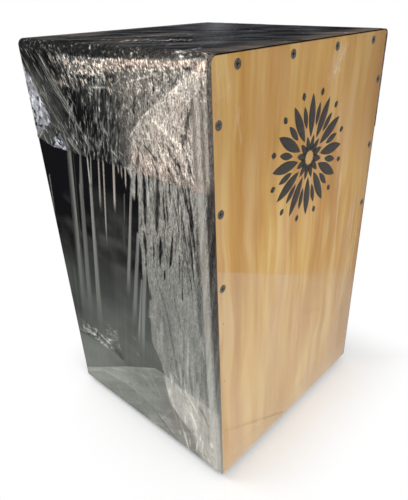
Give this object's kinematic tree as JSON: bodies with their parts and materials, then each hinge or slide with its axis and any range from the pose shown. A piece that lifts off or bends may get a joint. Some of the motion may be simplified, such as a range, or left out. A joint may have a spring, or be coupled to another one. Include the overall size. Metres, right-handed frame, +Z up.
{
  "type": "cajon",
  "caption": "Wooden box drum with a screwed-on pine playing face, a rear sound hole, rubber feet and a snare bar that turns on and off inside, still wrapped in clear film.",
  "frame": {"origin": "on the floor under the middle of the box", "axes": "+Z up, the playing face looks along -Y, +X to the right as seen facing it"},
  "size_m": [0.302, 0.285, 0.491],
  "materials": {
    "black_lacquer": "black lacquered board",
    "pine_face": "clear lacquered pine veneer",
    "pine_block": "planed softwood",
    "beech": "turned beech",
    "black_screw": "black phosphated steel",
    "bright_steel": "zinc plated",
    "snare_steel": "bright coiled wire",
    "foot_rubber": "moulded rubber",
    "film": "clear stretch film"
  },
  "bodies": {
    "box": {"seat_panel": "black_lacquer", "left_side": "black_lacquer", "right_side": "black_lacquer", "base_panel": "black_lacquer", "back_panel": "black_lacquer", "tapa": "pine_face", "seat_dowels": "beech", "base_dowels": "beech", "glue_block_top_left": "pine_block", "glue_block_top_right": "pine_block", "glue_block_bottom_left": "pine_block", "glue_block_bottom_right": "pine_block", "tapa_screws": "black_screw", "tapa_brads": "black_screw", "back_screws": "black_screw", "foot_front_left": "foot_rubber", "foot_front_right": "foot_rubber", "foot_back_left": "foot_rubber", "foot_back_right": "foot_rubber", "foot_washers": "bright_steel", "foot_screws": "bright_steel", "snare_bearing_left": "beech", "snare_bearing_right": "beech", "bearing_screws": "black_screw", "film_wrap": "film", "film_cap": "film"},
    "snare": {"snare_bar": "beech", "snare_lever": "beech", "snare_clip_left": "bright_steel", "snare_clip_right": "bright_steel", "snare_strands_left": "snare_steel", "snare_strands_right": "snare_steel", "clip_screws": "black_screw"}
  },
  "joints": [
    {"name": "snare_turn", "type": "hinge", "parent": "box", "child": "snare", "pos_m": [0, -0.1265, 0.34], "axis": [-1, 0, 0], "range_deg": [0, 25]}
  ]
}
